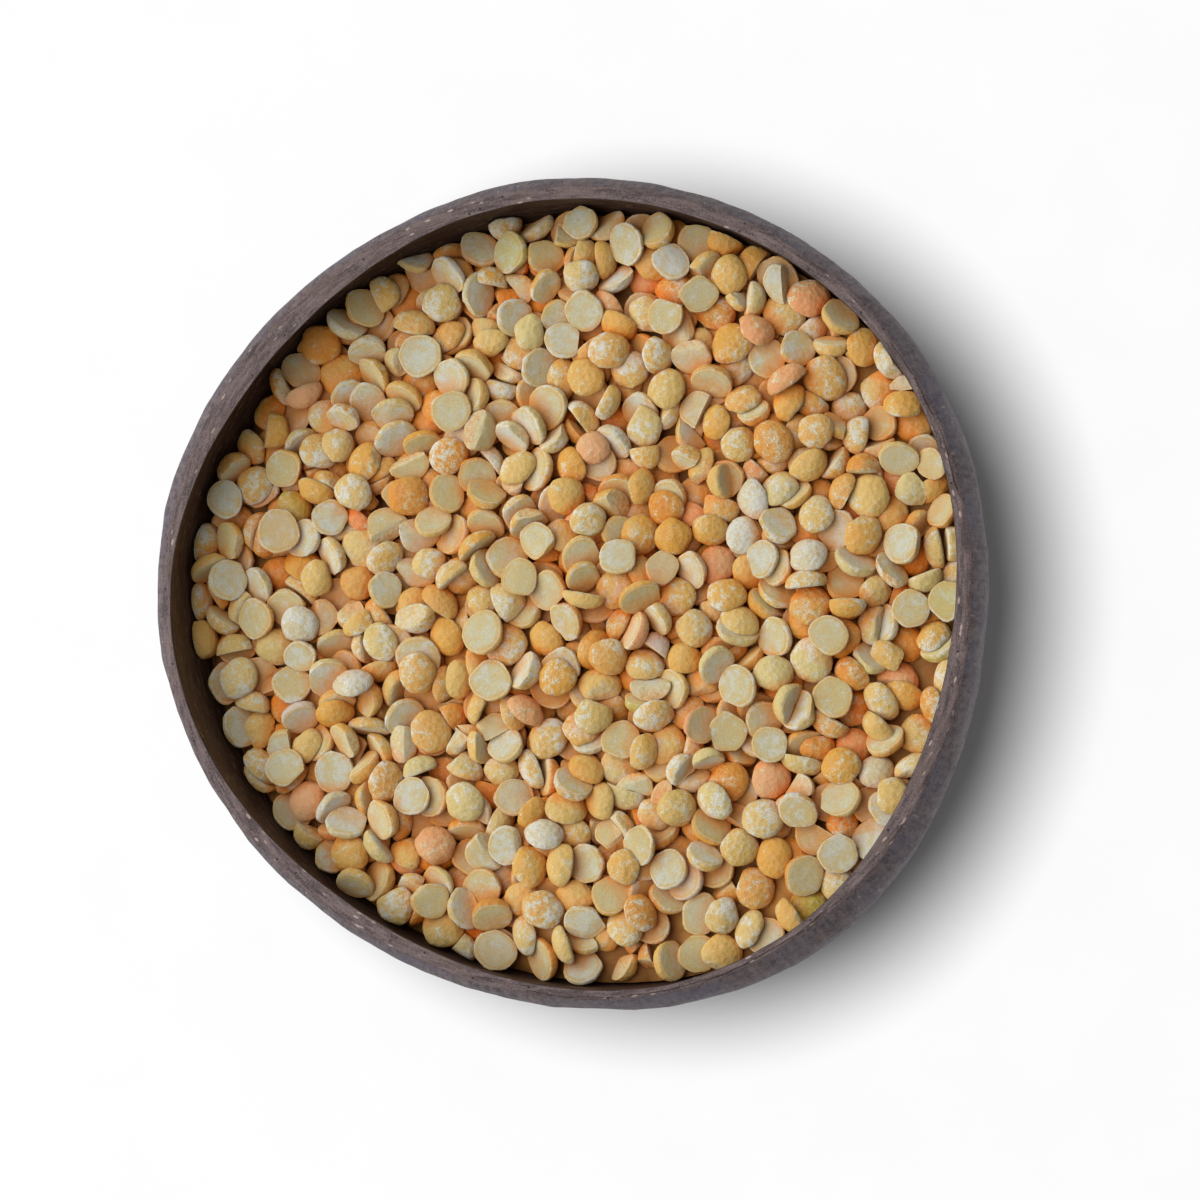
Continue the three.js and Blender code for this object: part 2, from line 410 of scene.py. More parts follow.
def knife_facets(directions, seed):
    """How much a ball's radius shrinks, as a share, where flat cuts shave it."""
    stream = np.random.default_rng(seed)
    steps = np.arange(FACET_COUNT)
    height = 1 - 2 * (steps + 0.5) / FACET_COUNT
    across = np.sqrt(1 - height**2)
    turn = GOLDEN_ANGLE * steps
    normals = np.stack([across * np.cos(turn), across * np.sin(turn), height], 1)
    normals += stream.normal(0, FACET_STRAY, normals.shape)
    normals /= np.linalg.norm(normals, axis=1, keepdims=True)
    half_width = np.radians(FACET_HALF_WIDTH * stream.uniform(*FACET_WIDTHS, FACET_COUNT))
    cosine = np.maximum(directions @ normals.T, FARTHEST_COSINE)
    return 1 - np.minimum((np.cos(half_width) / cosine).min(axis=1), 1)


def shell_profile():
    """Each ring's zone, height and step, from the foot up the outside and down the inside.

    The step is a share of the way over the foot or the rim. On a rounded edge it is two shares
    of the rounding: down and inwards on the outer edge, down and outwards on the inner one.
    """
    foot = [("foot", 0.0, share) for share in FOOT_SHARES]
    low = -math.asin(BELLY_HEIGHT / OUTER_DEPTH)
    outside = [
        ("outside", BELLY_HEIGHT + OUTER_DEPTH * math.sin(turn), 0.0)
        for turn in np.linspace(low, 0, OUTSIDE_RINGS)
    ]
    collar = np.linspace(BELLY_HEIGHT, BOWL_HEIGHT - EDGE_ROUNDING, COLLAR_RINGS + 2)[1:-1]
    outside += [("outside", z, 0.0) for z in collar]
    rim = [
        ("outer edge", BOWL_HEIGHT, (1 - math.sin(turn), 1 - math.cos(turn)))
        for turn in np.radians(np.linspace(0, 80, OUTER_EDGE_RINGS))
    ]
    rim += [("rim", BOWL_HEIGHT, share) for share in np.linspace(0, 1, RIM_RINGS)]
    rim += [
        ("inner edge", BOWL_HEIGHT, (1 - math.cos(turn), 1 - math.sin(turn)))
        for turn in np.radians(np.linspace(15, 90, INNER_EDGE_RINGS))
    ]
    throat = np.linspace(BOWL_HEIGHT - INNER_EDGE_ROUNDING, BELLY_HEIGHT, THROAT_RINGS + 1)[1:]
    inside = [("inside", z, 0.0) for z in throat]
    inside += [
        ("inside", BELLY_HEIGHT - INNER_DEPTH * math.sin(turn), 0.0)
        for turn in np.radians(np.linspace(2, 86, INSIDE_RINGS))
    ]
    return foot + outside + rim + inside


def worn_rounding(circle):
    """The outer edge's rounding at each point round the rim."""
    edge = circle * RIM_OUTER_OUTLINE[0]
    wear = MEAN_WEAR + WEAR_SWING * smooth_noise(edge, LONG_WEAR, seed=3)
    wear += WEAR_SWING * np.maximum(0, smooth_noise(edge, SHORT_WEAR, seed=4))
    return EDGE_ROUNDING * np.clip(wear, *WORN_EDGE)


def shell_rings():
    """The shell's rings of points, with the zone, height and step of each."""
    angle = np.arange(SHELL_SEGMENTS) * 2 * math.pi / SHELL_SEGMENTS
    circle = flat_ring(angle, 1.0, np.zeros_like(angle))
    outer_round = worn_rounding(circle)
    stray = INNER_STRAY * smooth_noise(circle * RIM_INNER_OUTLINE[0], INNER_STRAY_WAVE, seed=5)
    profile = shell_profile()
    rings = []
    for zone, height, step in profile:
        z = np.full(SHELL_SEGMENTS, height)
        if zone == "foot":
            radius = outer_radius(angle, 0.0) * step
        elif zone == "outside":
            radius = outer_radius(angle, z)
        elif zone == "outer edge":
            drop, inset = step
            z = height - outer_round * drop
            radius = outer_radius(angle, z) - outer_round * inset
        elif zone == "rim":
            outer = outer_radius(angle, z) - outer_round * FLAT_START
            inner = inner_radius(angle, z) + stray + INNER_EDGE_ROUNDING
            radius = outer + (inner - outer) * step
        elif zone == "inner edge":
            drop, outset = step
            z = z - INNER_EDGE_ROUNDING * drop
            radius = inner_radius(angle, z) + stray + INNER_EDGE_ROUNDING * outset
        else:
            fade = (height - INNER_STRAY_END) / (BOWL_HEIGHT - INNER_STRAY_END)
            radius = inner_radius(angle, z) + stray * np.clip(fade, 0, 1)
        rings.append(flat_ring(angle, radius, z))
    return rings, profile


def shave(rings, profile):
    """Cuts knife facets and low fibres into the outside, inwards from the solid's surface."""
    for ring, (zone, _, _) in zip(rings, profile):
        if zone not in ("outside", "outer edge", "rim"):
            continue
        centre = np.array([0, 0, BELLY_HEIGHT])
        spread = np.array([1, 1, BELLY_OUTLINE[0] / OUTER_DEPTH])
        ball = (ring - centre) * spread
        ball /= np.linalg.norm(ball, axis=1, keepdims=True)
        radius = np.hypot(ring[:, 0], ring[:, 1])
        cut = radius * knife_facets(ball, seed=11) + SKIN_INSET
        cut += FIBRE_DEPTH * (1 + smooth_noise(ring, FIBRE_WAVE, seed=6))
        if zone == "rim":
            inner = inner_radius(np.arctan2(ring[:, 1], ring[:, 0]), BOWL_HEIGHT)
            outer = RIM_OUTER_OUTLINE[0]
            cut *= np.clip((radius - inner) / (outer - inner.mean()), 0, 1)
        cut *= np.clip(ring[:, 2] / UNCUT_FOOT, 0, 1)
        ring[:, :2] *= (1 - cut / radius)[:, None]


# How much a place is squeezed along its streaks, so that these come out long.
RIM_SQUEEZE = 0.35
WALL_SQUEEZE = 0.14
INSIDE_SQUEEZE = 0.16
RIM_GRAIN_SLANT = 0.9  # the most that the rim's streaks lean away from the radius
RIM_GRAIN_SIDE = 197  # degrees: where they don't lean


def shell_marks(rings, profile):
    """How much each ring shows the sawn rim and the inside, and where streaks are read from.

    A grain is a place squeezed along its streaks, so that these come out long.
    """
    mean = RIM_OUTER_OUTLINE[0]
    marks = {"sawn": [], "within": [], "rim_grain": [], "wall_grain": [], "inside_grain": []}
    for ring, (zone, _, step) in zip(rings, profile):
        sawn, within = {"rim": (1, 0), "inside": (0, 1)}.get(zone, (0, 0))
        if zone == "outer edge":
            sawn = 1 - step[0]
        if zone == "inner edge":
            sawn, within = step[1], 1 - step[1]
        angle = np.arctan2(ring[:, 1], ring[:, 0])
        radius = np.hypot(ring[:, 0], ring[:, 1])
        slant = RIM_GRAIN_SLANT * np.sin(2 * (angle - math.radians(RIM_GRAIN_SIDE)))
        turned = angle + slant * (radius - mean) / mean
        circle = mean * np.stack([np.cos(angle), np.sin(angle)], 1)
        slanted = mean * np.stack([np.cos(turned), np.sin(turned)], 1)
        grains = {
            "rim_grain": (slanted * RIM_SQUEEZE, radius),
            "wall_grain": (circle, ring[:, 2] * WALL_SQUEEZE),
            "inside_grain": (circle * INSIDE_SQUEEZE, ring[:, 2]),
        }
        marks["sawn"].append(np.full(len(ring), sawn))
        marks["within"].append(np.full(len(ring), within))
        for name, parts in grains.items():
            marks[name].append(np.column_stack(parts) * MM)
    return marks


def make_shell():
    rings, profile = shell_rings()
    shave(rings, profile)
    foot_middle = np.array([[0.0, 0.0, 0.0]])
    inside_middle = np.array([[0.0, 0.0, FLOOR]])
    points = np.concatenate([foot_middle, *rings, inside_middle])
    triangles = swept_triangles(len(rings), SHELL_SEGMENTS)
    shell = make_piece("coconut_bowl", points, triangles, shell_material())
    marks = {
        name: np.concatenate([values[0][:1], *values, values[-1][:1]])
        for name, values in shell_marks(rings, profile).items()
    }
    add_marks(shell, marks)
    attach(shell, "root")
    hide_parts("bowl")


# ---------------------------------------------------------------- the core under the peas

PEA_LAYER = 6.5  # depth of the loose peas over the core
PEA_LAYER_AT_WALL = 4.5
CORE_GAP = 0.5  # between the core and the shell
CORE_SEGMENTS = 96
CORE_SIDE_RINGS = 15
CORE_TOP_RINGS = 12

# The core's colours, as the light should bring them out.
CORE_LIT = (196, 128, 52)
CORE_SHADED = (128, 66, 22)
CORE_DUST = (205, 175, 110)


def core_height(share, angle=0.0):
    """The core's top at this angle and this share of the way from the middle to the wall."""
    rise, side = HEAP_LEAN
    top = HEAP_CROWN + (HEAP_EDGE - HEAP_CROWN) * share**2
    top = top + rise * share * np.cos(angle - math.radians(side))
    return top - PEA_LAYER - (PEA_LAYER_AT_WALL - PEA_LAYER) * share**2


def core_material():
    n = Nodes("pea_core", roughness=0.8, shine=0.2)
    place = n.place()
    cells = n.cells(place, 0.17 * PER_METRE)
    dust = n.noise(place, 0.5 * PER_METRE, detail=3)
    colour = n.mix(n.between(cells, 0.1, 0.8), seen(CORE_LIT), seen(CORE_SHADED))
    n.paint(n.laid_over(colour, seen(CORE_DUST), dust, 0.4))
    n.bump(n.minus(1.0, cells), depth=1.2)
    return n.material


def flat_ring(angle, radius, z):
    return np.stack([radius * np.cos(angle), radius * np.sin(angle), z], 1)


def make_core():
    angle = np.arange(CORE_SEGMENTS) * 2 * math.pi / CORE_SEGMENTS
    edge = inner_radius(angle, core_height(1, angle)) - CORE_GAP
    steepest = np.arcsin((core_height(1, angle) - BELLY_HEIGHT) / INNER_DEPTH)
    rings = []
    for share in np.linspace(0, 1, CORE_SIDE_RINGS + 1)[1:]:
        turn = (steepest + math.pi / 2) * share - math.pi / 2
        z = BELLY_HEIGHT + (INNER_DEPTH - CORE_GAP) * np.sin(turn)
        rings.append(flat_ring(angle, inner_radius(angle, z) - CORE_GAP, z))
    rings += [
        flat_ring(angle, share * edge, core_height(share, angle))
        for share in np.linspace(0.95, 0.1, CORE_TOP_RINGS)
    ]
    points = np.concatenate([[[0, 0, FLOOR + CORE_GAP]], *rings, [[0, 0, core_height(0)]]])
    triangles = swept_triangles(len(rings), CORE_SEGMENTS)
    core = make_piece("pea_core", points, triangles, core_material())
    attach(core, "root")
    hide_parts("peas")


# ---------------------------------------------------------------- the shapes of the peas

PEA_DIAMETER = 7.2
PEA_THICKNESS = 3.3
SHAPE_COUNT = 96
SHAPE_SEED = 21
CHIP_SHARE = 0.18  # of the shapes, broken ones
CREASE_SHARE = 0.35  # of the shapes, ones whose cut face has a second, tilted part
NICK_SHARE = 0.25  # of the whole shapes, ones with a small piece off

RADIUS_SPREAD = 0.055
RADIUS_LIMITS = (0.87, 1.12)
THICKNESSES = (0.8, 1.08)  # as shares of PEA_THICKNESS
WIDTHS = (0.84, 1.0)  # as shares of the length
PEA_SWELLS = ((2, 0.03), (3, 0.035), (4, 0.03), (5, 0.025), (7, 0.015))  # lobes, most rise
DENTS = (-0.03, 0.09)  # of the cut face, as shares of the thickness
# How far out planes cut a pea, as shares of its radius, how they slope and how firmly they cut.
FLAT_REACHES = (0.8, 0.96)
FLAT_SLOPES = (-0.5, 0.8)
FLAT_FIRMNESS = 0.85
CREASE_REACHES = (0.05, 0.6)
CREASE_LEANS = (10, 24)  # degrees
CREASE_FIRMNESS = 0.9
CHIP_REACHES = (-0.1, 0.5)
NICK_REACHES = (0.62, 0.8)
BREAK_SLOPES = (-0.5, 0.5)
BROKEN_PAST = 0.02  # points that a break moves further than this show broken pea
LUMPS = ((0.17, 1.9), (0.08, 0.8))  # height and wave length

PEA_SEGMENTS = 24
# Rings from the middle of the cut face over its worn edge: how far out, how high, how much
# each shows the cut face, and how much it belongs to the face's border.
FACE_RINGS = (
    (0.42, 0.0, 1.0, 0.0),
    (0.72, 0.0, 1.0, 0.15),
    (0.86, 0.012, 1.0, 0.7),
    (0.94, 0.05, 0.7, 1.0),
    (0.985, 0.12, 0.15, 0.6),
)
BACK_TURNS = (2, 17, 32, 47, 62, 77)  # degrees up the round back
FOOT_OF_BACK = 0.22  # of the thickness, where the round back begins


def pea_template():
    """Points of a half pea of radius and thickness 1, cut face down, with their two marks."""
    turn = np.arange(PEA_SEGMENTS) * 2 * math.pi / PEA_SEGMENTS
    back = np.radians(BACK_TURNS)
    back_out = np.cos(back)
    back_up = FOOT_OF_BACK + (1 - FOOT_OF_BACK) * np.sin(back)
    levels = list(FACE_RINGS) + [(out, up, 0, 0) for out, up in zip(back_out, back_up)]
    rows = [np.array([[0, 0, 0, 1, 0]])]
    for out, up, face, edge in levels:
        marks = np.tile([up, face, edge], (PEA_SEGMENTS, 1))
        rows.append(np.column_stack([out * np.cos(turn), out * np.sin(turn), marks]))
    rows.append(np.array([[0, 0, 1, 0, 0]]))
    table = np.concatenate(rows)
    triangles = swept_triangles(len(levels), PEA_SEGMENTS)
    return table[:, :3], table[:, 3], table[:, 4], triangles


TEMPLATE, FACE_MARK, EDGE_MARK, PEA_TRIANGLES = pea_template()


def unit(x, y, z):
    length = math.sqrt(x * x + y * y + z * z)
    return np.array([x, y, z]) / length


def pushed_in(points, normal, reach, firmness=1.0):
    """Pushes what stands past a plane back towards it. Says how far each point was past."""
    past = np.maximum(points @ normal - reach, 0)
    return points - firmness * past[:, None] * normal, past


def pea_blank(stream, radius):
    """A half pea with an uneven outline and a dented or swollen cut face."""
    thickness = PEA_THICKNESS * stream.uniform(*THICKNESSES)
    width = stream.uniform(*WIDTHS)
    x, y, z = TEMPLATE.T
    turn = np.arctan2(y, x)
    wave = 1 + sum(
        stream.uniform(0, rise) * np.cos(lobes * turn + stream.uniform(0, 2 * math.pi))
        for lobes, rise in PEA_SWELLS
    )
    dish = stream.uniform(*DENTS) * np.clip(1 - x * x - y * y, 0, 1) * FACE_MARK
    return np.stack([x * wave * radius, y * wave * radius * width, (z + dish) * thickness], 1)


def worn_flat(stream, points, radius):
    """A pea with one side worn nearly flat."""
    way = stream.uniform(0, 2 * math.pi)
    normal = unit(math.cos(way), math.sin(way), stream.uniform(*FLAT_SLOPES))
    reach = radius * stream.uniform(*FLAT_REACHES)
    return pushed_in(points, normal, reach, FLAT_FIRMNESS)[0]


def creased(stream, points, radius):
    """A pea whose cut face has a second part, tilted a little."""
    way = stream.uniform(0, 2 * math.pi)
    lean = math.radians(stream.uniform(*CREASE_LEANS))
    across = math.sin(lean)
    normal = unit(across * math.cos(way), across * math.sin(way), -math.cos(lean))
    reach = radius * across * stream.uniform(*CREASE_REACHES)
    return pushed_in(points, normal, reach, CREASE_FIRMNESS)[0]


def broken(stream, points, radius, reaches):
    """A pea with a side off, and which of its points show that."""
    way = stream.uniform(0, 2 * math.pi)
    normal = unit(math.cos(way), math.sin(way), stream.uniform(*BREAK_SLOPES))
    points, past = pushed_in(points, normal, radius * stream.uniform(*reaches))
    return points, past > BROKEN_PAST


def pea_shape(stream, chip):
    """One half pea about its middle, and how much each point shows broken pea."""
    radius = PEA_DIAMETER / 2 * np.clip(stream.normal(1, RADIUS_SPREAD), *RADIUS_LIMITS)
    points = pea_blank(stream, radius)
    for _ in range(stream.integers(1, 5)):
        points = worn_flat(stream, points, radius)
    if stream.uniform() < CREASE_SHARE:
        points = creased(stream, points, radius)
    raw = np.zeros(len(points))
    for _ in range(stream.integers(1, 3) if chip else stream.uniform() < NICK_SHARE):
        reaches = CHIP_REACHES if chip else NICK_REACHES
        points, shown = broken(stream, points, radius, reaches)
        raw = np.maximum(raw, shown)
    middle = points.mean(axis=0)
    seed = stream.uniform(0, 50)
    lumps = sum(height * smooth_noise(points, wave, seed) for height, wave in LUMPS)
    points += lumps[:, None] * (points - middle) / radius
    return points - middle, raw


def pea_shapes():
    stream = np.random.default_rng(SHAPE_SEED)
    chips = round(SHAPE_COUNT * CHIP_SHARE)
    return [pea_shape(stream, index < chips) for index in range(SHAPE_COUNT)]


# ---------------------------------------------------------------- pouring the peas

PEA_COUNT = 870
POURED_AT_ONCE = 120
POUR_SEED = 5
POUR_HEIGHT = 60.0
POUR_STEP = 7.5
POUR_JITTER = 0.3
POUR_CEILING = 150.0  # how far up the wall is carried for the pour
LOWEST_PEA = 35.0  # a pea whose middle ends lower has escaped
HULL_RINGS = (3, 4, 6, 8, 9)  # of the template, those that the solver's hulls are made from

SIM_SCALE = 0.1  # the solver works in units of 10 mm
SIM_FRAMES = 34
SIM_SUBSTEPS = 8
SIM_ITERATIONS = 12
SIM_GRAVITY = -98.1  # strong, so that the peas settle in few steps
PEA_FRICTION = 0.5
PEA_BOUNCE = 0.05
PEA_DRAG = 0.1
PEA_TURN_DRAG = 0.3


def collider():
    """The inside of the bowl over the core, with its wall carried up to catch every pea."""
    angle = np.arange(CORE_SEGMENTS) * 2 * math.pi / CORE_SEGMENTS
    edge_height = core_height(1, angle)
    edge = inner_radius(angle, edge_height)
    rings = [
        flat_ring(angle, share * edge, core_height(share, angle))
        for share in np.linspace(0.12, 1, 8)
    ]
    for share in np.linspace(0, 1, 12)[1:]:
        z = edge_height + (POUR_CEILING - edge_height) * share
        rings.append(flat_ring(angle, inner_radius(angle, np.minimum(z, BELLY_HEIGHT)), z))
    points = np.concatenate([[[0, 0, core_height(0)]], *rings]) * SIM_SCALE
    triangles = swept_triangles(len(rings), CORE_SEGMENTS)
    triangles = triangles[triangles.max(axis=1) < len(points)]
    mesh = bpy.data.meshes.new("pour_bowl")
    mesh.from_pydata(points.tolist(), [], triangles.tolist())
    return bpy.data.objects.new("pour_bowl", mesh)


def hull_mesh(points):
    """A simple convex hull of a pea, for the solver."""
    wanted = [0, len(points) - 1]
    for ring in HULL_RINGS:
        start = 1 + (ring - 1) * PEA_SEGMENTS
        wanted += list(range(start, start + PEA_SEGMENTS, 2))
    made = bmesh.new()
    for x, y, z in points[wanted] * SIM_SCALE:
        made.verts.new((x, y, z))
    bmesh.ops.convex_hull(made, input=made.verts)
    mesh = bpy.data.meshes.new("pour_pea")
    made.to_mesh(mesh)
    made.free()
    return mesh


def start_solver():
    """Sets the solver up for the pour."""
    scene = bpy.context.scene
    bpy.ops.rigidbody.world_add()
    world = scene.rigidbody_world
    world.collection = bpy.data.collections.new("pour")
    world.substeps_per_frame = SIM_SUBSTEPS
    world.solver_iterations = SIM_ITERATIONS
    world.point_cache.frame_end = SIM_FRAMES + 1
    scene.frame_end = SIM_FRAMES + 1
    scene.gravity = (0, 0, SIM_GRAVITY)


def hung_peas(hulls):
    """Bodies hung over the bowl in layers, each turned its own way, and the shape of each."""
    stream = random.Random(POUR_SEED)
    widest = BELLY_OUTLINE[0] - WALL - PEA_DIAMETER
    bodies, chosen = [], []
    for index in range(PEA_COUNT):
        layer, place = divmod(index, POURED_AT_ONCE)
        shape = stream.randrange(len(hulls))
        body = bpy.data.objects.new(f"pour_{index}", hulls[shape])
        out = widest * math.sqrt((place + 0.5) / POURED_AT_ONCE)
        angle = place * GOLDEN_ANGLE + layer
        z = POUR_HEIGHT + layer * POUR_STEP + stream.uniform(-POUR_JITTER, POUR_JITTER)
        where = Vector((out * math.cos(angle), out * math.sin(angle), z)) * SIM_SCALE
        turn = Quaternion([stream.gauss(0, 1) for _ in range(4)]).normalized()
        body.matrix_world = Matrix.LocRotScale(where, turn, None)
        bodies.append(body)
        chosen.append(shape)
    return bodies, chosen


def make_rigid(bowl, bodies):
    """Puts the bowl in the scene as a fixed body and the peas as loose ones."""
    for body in (bowl, *bodies):
        bpy.context.scene.collection.objects.link(body)
        body.select_set(True)
    bpy.context.view_layer.objects.active = bowl
    bpy.ops.rigidbody.objects_add(type="ACTIVE")
    for body in (bowl, *bodies):
        solid = body.rigid_body
        solid.collision_shape = "CONVEX_HULL"
        solid.friction = PEA_FRICTION
        solid.restitution = PEA_BOUNCE
        solid.linear_damping = PEA_DRAG
        solid.angular_damping = PEA_TURN_DRAG
        solid.use_margin = True
        solid.collision_margin = 0.0
    bowl.rigid_body.type = "PASSIVE"
    bowl.rigid_body.collision_shape = "MESH"


def clear_pour(bodies):
    bpy.ops.rigidbody.world_remove()
    for body in bodies:
        bpy.data.objects.remove(body)
    for mesh in [m for m in bpy.data.meshes if m.name.startswith("pour_")]:
        bpy.data.meshes.remove(mesh)


def poured(shapes):
    """Drops the peas and returns, for each, its shape's index, its turn and its place."""
    scene = bpy.context.scene
    kept_gravity = tuple(scene.gravity)
    start_solver()
    hulls = [hull_mesh(points) for points, _ in shapes]
    bowl = collider()
    bodies, chosen = hung_peas(hulls)
    make_rigid(bowl, bodies)
    for step in range(1, SIM_FRAMES + 1):
        scene.frame_set(step)
    graph = bpy.context.evaluated_depsgraph_get()
    places = [np.array(body.evaluated_get(graph).matrix_world) for body in bodies]
    clear_pour([bowl, *bodies])
    scene.frame_set(1)
    scene.gravity = kept_gravity
    return [
        (shape, place[:3, :3], place[:3, 3] / SIM_SCALE)
        for shape, place in zip(chosen, places)
        if place[2, 3] > LOWEST_PEA * SIM_SCALE
    ]


# ---------------------------------------------------------------- the kinds of pea

# Each kind: its share of the heap, two colours of skin, two of cut face, and its powder, from
# the least to the most. The colours are those that the light should bring out.
KINDS = {
    "peas_golden": (
        0.30, (215, 164, 76), (217, 188, 118), (200, 187, 142), (202, 195, 162), (0.05, 0.5),
    ),
    "peas_amber": (
        0.17, (213, 147, 63), (215, 173, 101), (200, 187, 145), (202, 197, 167), (0.15, 0.65),
    ),
    "peas_dusty": (
        0.22, (214, 171, 92), (215, 192, 130), (202, 196, 163), (203, 202, 184), (0.45, 0.8),
    ),
    "peas_pale": (
        0.20, (209, 178, 105), (210, 196, 140), (200, 192, 159), (201, 199, 180), (0.3, 0.7),
    ),
    "peas_salmon": (
        0.050, (219, 156, 102), (220, 175, 129), (204, 186, 150), (206, 196, 168), (0.0, 0.4),
    ),
    "peas_chalky": (
        0.025, (205, 194, 160), (207, 203, 184), (202, 201, 188), (203, 204, 199), (0.7, 0.95),
    ),
    "peas_olive": (
        0.010, (187, 167, 72), (199, 184, 100), (198, 190, 135), (201, 196, 150), (0.3, 0.6),
    ),
    "peas_pink": (
        0.004, (206, 184, 170), (209, 193, 180), (205, 192, 174), (207, 200, 184), (0.0, 0.1),
    ),
}
FILM = (214, 190, 126)  # thin powder, which the skin shows through
POWDER = (208, 204, 183)
THICK_POWDER = (214, 214, 208)
YOLK = (208, 178, 100)  # yellow patches on a cut face
FACE_BORDER = (208, 174, 96)
# The cut face's edge: pale powder on the bevel, and a painted highlight along it.
FACE_PALE_EDGE_AND_HIGHLIGHT = (216, 212, 188)
CHALK = (205, 205, 197)
BROKEN_PEA = (214, 202, 166)

# Factors on the colour, as light.
SPECKLE_DARK = (0.93, 0.92, 0.9, 1)
SPECKLE_LIGHT = (1.05, 1.05, 1.05, 1)
PAINTED_GAP_SHADE_TINT = (1.08, 0.61, 0.29, 1.0)  # painted shade in the gaps, darker and oranger, for light that has met several peas there

HEAP_SEED = 8
NO_DUST_FROM = 0.63  # how high dust has to rise to show on a pea without powder
DUST_REACH = 0.2  # and how much lower that is on one with all the powder
SCUFFS = (0.2, 1.6)  # how unevenly powder lies from one side of a pea to the other
TEXTURE_SPREAD = 500  # places in the textures that peas are painted from
GAP_START = 1.2  # where the gaps' painted shade starts, below the heap's surface
GAP_DEPTH = 3.0  # from there to where a gap has its full painted shade
SHARP_EDGE = 55  # degrees
TOPS_CELL = 1.0
TOPS_MARGIN = 3  # cells


def skin_colour(n, marks, skin, skin_light):
    """Golden skin under powder, from a yellowish film to patches that are nearly white."""
    colour = n.mix(marks["tone"], seen(skin), seen(skin_light))
    colour = n.laid_over(colour, seen(FILM), n.between(marks["dust"], -0.08, 0.0), 0.45)
    colour = n.laid_over(colour, seen(POWDER), marks["powder"], 0.65)
    thick = n.between(marks["dust"], 0.03, 0.065)
    return n.laid_over(colour, seen(THICK_POWDER), thick, 0.7)


def face_colour(n, marks, face, face_light):
    """The cut face: buff and yellow, with a yellow border, chalk and a thin pale edge that is
    partly painted highlight.
    """
    colour = n.mix(marks["tone"], seen(face), seen(face_light))
    colour = n.laid_over(colour, seen(YOLK), n.between(marks["patch"], 0.56, 0.36), 0.35)
    border = n.between(marks["edge"], 0.1, 0.75)
    colour = n.laid_over(colour, seen(FACE_BORDER), border, 0.65)
    colour = n.laid_over(colour, seen(CHALK), n.between(marks["cloud"], -0.01, 0.07), 0.65)
    # The pale edge line is partly a painted highlight.
    return n.laid_over(colour, seen(FACE_PALE_EDGE_AND_HIGHLIGHT), n.between(marks["edge"], 0.8, 0.98), 0.8)


def pea_material(name, skin, skin_light, face, face_light):
    n = Nodes(name, roughness=0.5, shine=0.3)
    n.shader.inputs["Diffuse Roughness"].default_value = 1.0
    local = n.stored("local", "Vector")
    broad = n.noise(local, 0.25, detail=2)
    patch = n.noise(local, 0.48, detail=2, roughness=0.6, distortion=0.7)
    mottle = n.noise(local, 1.4, detail=3, roughness=0.68, distortion=0.5)
    grain = n.noise(local, 4.0, detail=2, roughness=0.6)
    wrinkle = n.cells(local, 0.95)
    on_face = n.stored("face")
    edge = n.stored("edge")
    dusty_from = n.stored("dusty_from")
    dust = n.weighed(
        (patch, 0.42),
        (mottle, 0.22),
        (grain, 0.28),
        (wrinkle, 0.08),
        (n.stored("scuff"), 0.05),
        (edge, 0.06),
    )
    dust = n.minus(dust, dusty_from)
    tone = n.plus(n.weighed((broad, 0.9), (mottle, 0.3)), n.stored("lot"))
    marks = {
        "tone": n.between(tone, 0.55, 1.65),
        "dust": dust,
        "powder": n.between(dust, -0.015, 0.03),
        "cloud": n.minus(n.weighed((patch, 0.65), (mottle, 0.35)), dusty_from),
        "edge": edge,
        "patch": patch,
    }
    skin_side = skin_colour(n, marks, skin, skin_light)
    colour = n.mix(on_face, skin_side, face_colour(n, marks, face, face_light))
    broken_part = n.times(n.stored("raw"), n.between(mottle, 0.3, 0.55))
    colour = n.laid_over(colour, seen(BROKEN_PEA), broken_part, 0.8)
    speckle = n.mix(n.between(grain, 0.36, 0.64), SPECKLE_DARK, SPECKLE_LIGHT)
    colour = n.mix(1.0, colour, speckle, "MULTIPLY")
    # Painted shade: the lower a point lies in the heap, the darker and oranger it is painted.
    n.paint(n.mix(n.stored("deep"), colour, n.mix(1.0, colour, PAINTED_GAP_SHADE_TINT, "MULTIPLY")))
    covered = n.maths("MAXIMUM", marks["powder"], on_face)
    n.feed(n.shader.inputs["Roughness"], n.plus(n.times(covered, 0.35), 0.36))
    rough = n.weighed((mottle, 0.3), (grain, 0.2), (wrinkle, 0.5))
    n.bump(n.times(rough, n.minus(1.0, n.times(on_face, 0.7))), depth=0.5)
    return n.material


def heap_tops(points):
    """The height of the heap's surface near each point."""
    half = math.ceil(BELLY_OUTLINE[0] / TOPS_CELL) + TOPS_MARGIN
    column, row = (
        np.floor(points[:, axis] / TOPS_CELL).astype(int) + half for axis in (0, 1)
    )
    tops = np.zeros((2 * half, 2 * half))
    np.maximum.at(tops, (column, row), points[:, 2])
    for axis in (0, 1):
        steps = [np.roll(tops, step, axis) for step in (-2, -1, 0, 1, 2)]
        tops = np.sort(steps, axis=0)[-2:].mean(axis=0)
    return tops[column, row]


def placed(members, shapes):
    """The points of some settled peas, one after the other."""
    return np.concatenate([shapes[shape][0] @ turn.T + place for shape, turn, place in members])


